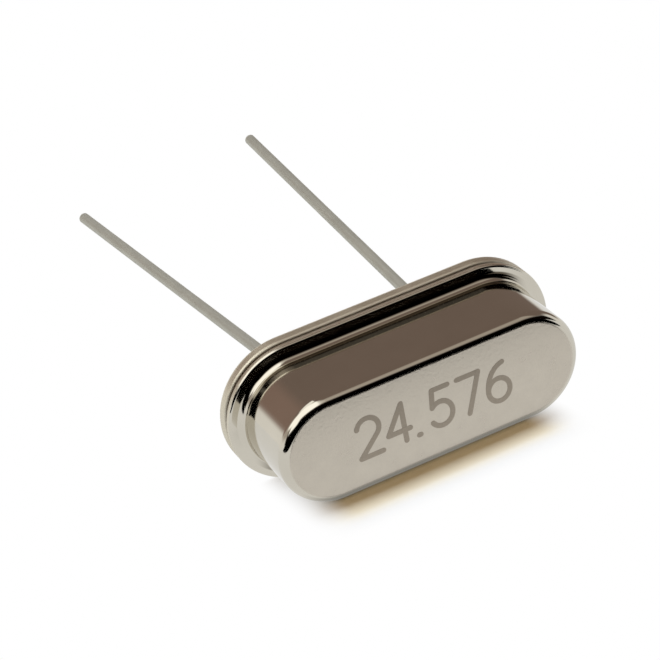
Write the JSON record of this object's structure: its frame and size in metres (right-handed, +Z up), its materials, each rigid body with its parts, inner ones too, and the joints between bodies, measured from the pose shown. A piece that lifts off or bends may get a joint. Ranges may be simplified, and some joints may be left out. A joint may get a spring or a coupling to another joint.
{
  "type": "quartz crystal",
  "caption": "Quartz crystal resonator in a low welded metal can with round ends and a flange, with wire leads through glass seals for soldering to a board.",
  "frame": {"origin": "on the surface that the crystal lies on, under the middle of its box", "axes": "+Z up, +Y along the package towards the leads' tips, +X along the can's length"},
  "size_m": [0.011, 0.0206, 0.0059],
  "materials": {
    "can_metal": "nickel-plated steel, bright on the wall and satin on the flat top",
    "base_metal": "nickel-plated steel",
    "seal_glass": "dark sealing glass",
    "lead_wire": "tinned wire, dull",
    "clip_strip": "nickel-silver strip",
    "quartz": "lapped quartz",
    "electrode_film": "evaporated silver film",
    "cement": "silver-filled cement"
  },
  "bodies": {
    "root": {"can": "can_metal", "base": "base_metal", "glass_bead_left": "seal_glass", "glass_bead_right": "seal_glass", "lead_left": "lead_wire", "lead_right": "lead_wire", "clip_left": "clip_strip", "clip_right": "clip_strip", "quartz_blank": "quartz", "electrode_front": "electrode_film", "electrode_back": "electrode_film", "cement_left": "cement", "cement_right": "cement"}
  },
  "joints": []
}
